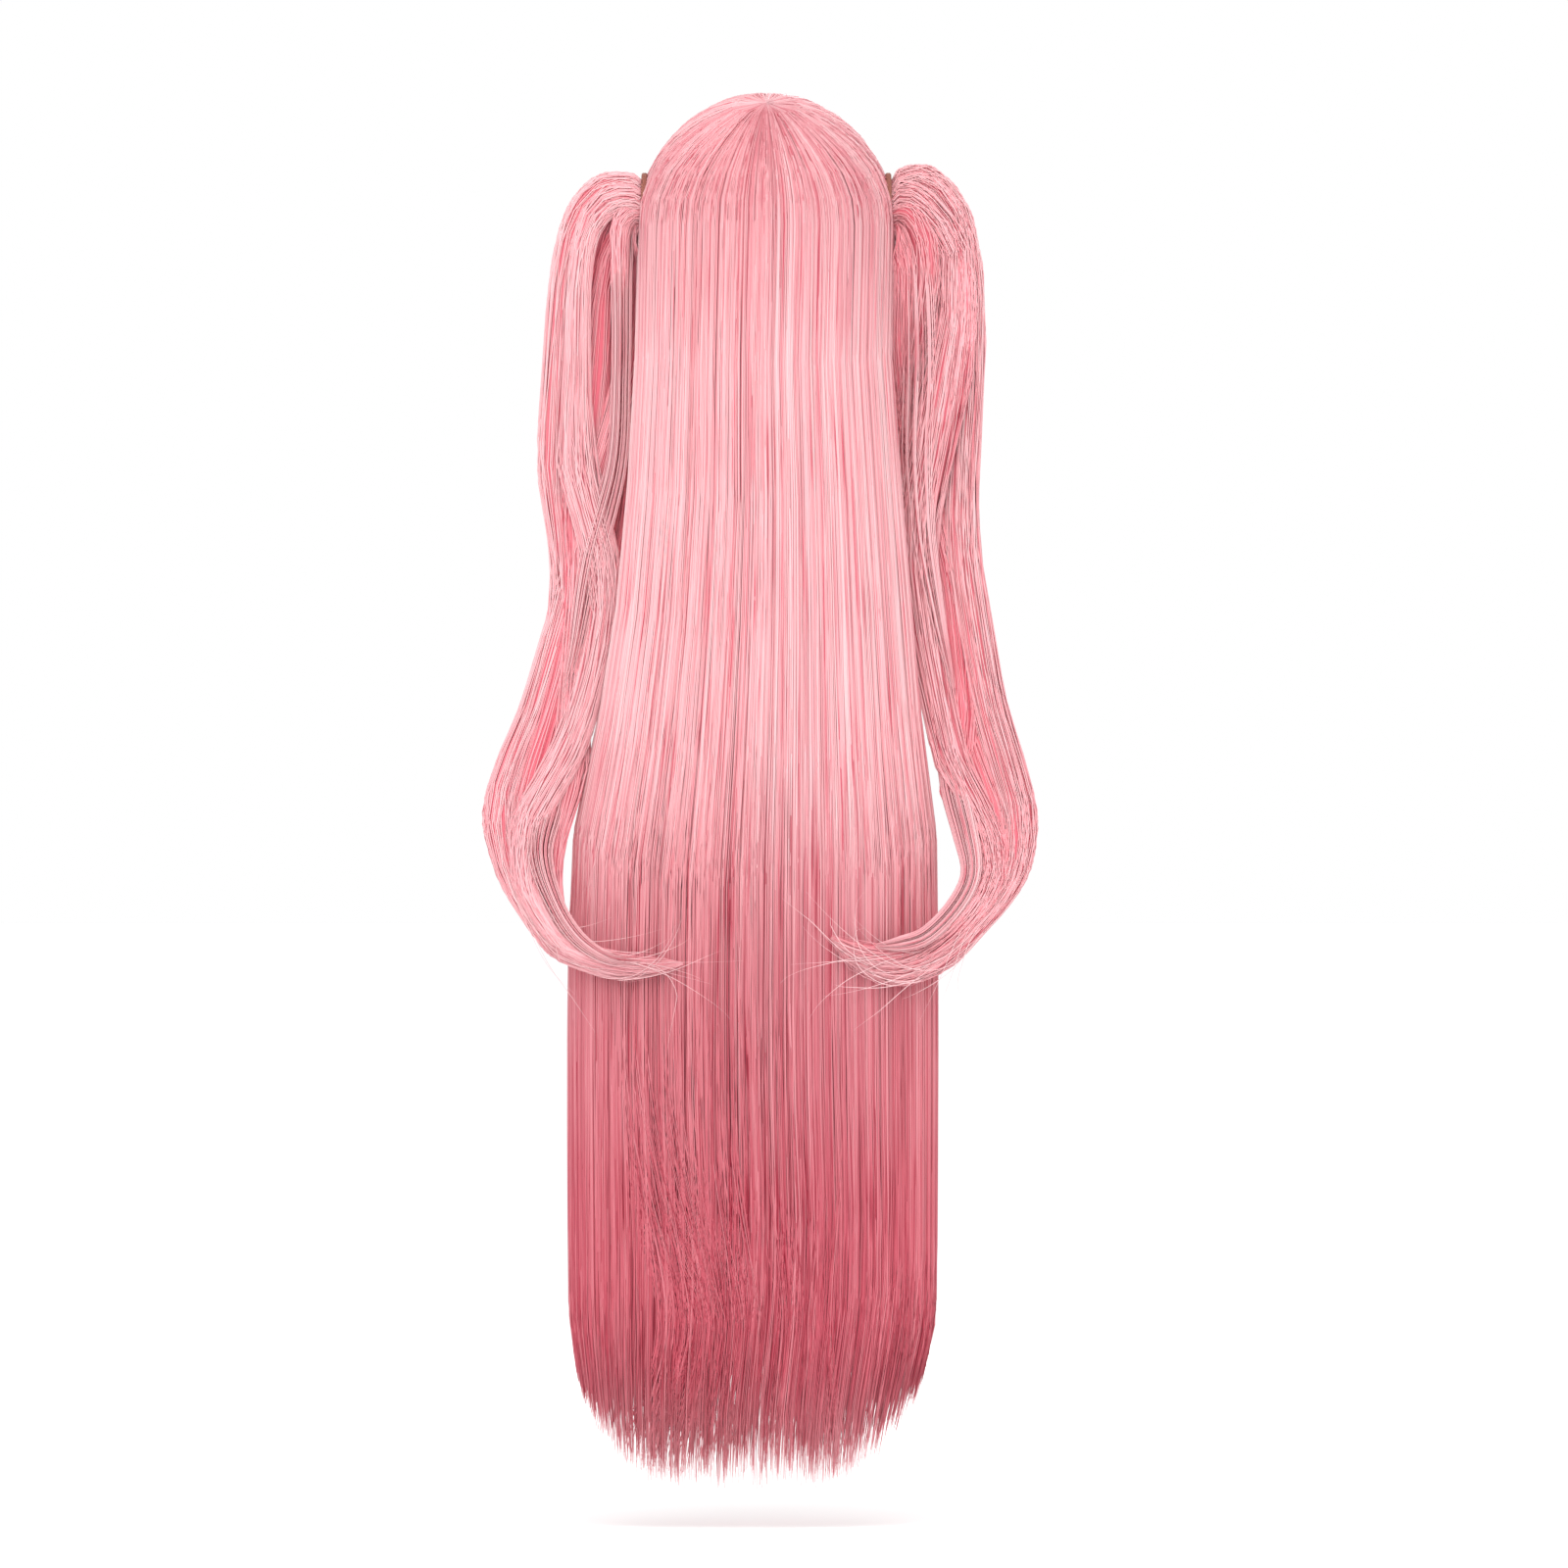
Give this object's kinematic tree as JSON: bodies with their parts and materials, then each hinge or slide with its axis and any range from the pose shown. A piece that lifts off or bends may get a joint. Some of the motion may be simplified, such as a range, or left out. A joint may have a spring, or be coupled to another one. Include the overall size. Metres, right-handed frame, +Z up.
{
  "type": "pigtail wig",
  "caption": "Long straight synthetic wig on a stretch net cap, with a gathered side pigtail over each ear that ends in an inward curl.",
  "frame": {"origin": "inside of the cap's top, where it sits on the crown of the head", "axes": "+Z up, the wearer faces -Y, the wearer's left is +X"},
  "size_m": [0.4057, 0.2365, 1.0049],
  "materials": {
    "hair": "pink heat-resistant synthetic fibre with a soft sheen along the strands",
    "net": "fine elastic net with sewn weft bands",
    "elastic": "matt covered elastic"
  },
  "bodies": {
    "root": {"cap": "net", "crown_hair": "hair", "back_hair": "hair", "fringe": "hair", "side_hair_left": "hair", "side_hair_right": "hair", "pigtail_left": "hair", "pigtail_right": "hair", "hair_tie_left": "elastic", "hair_tie_right": "elastic"}
  },
  "joints": []
}
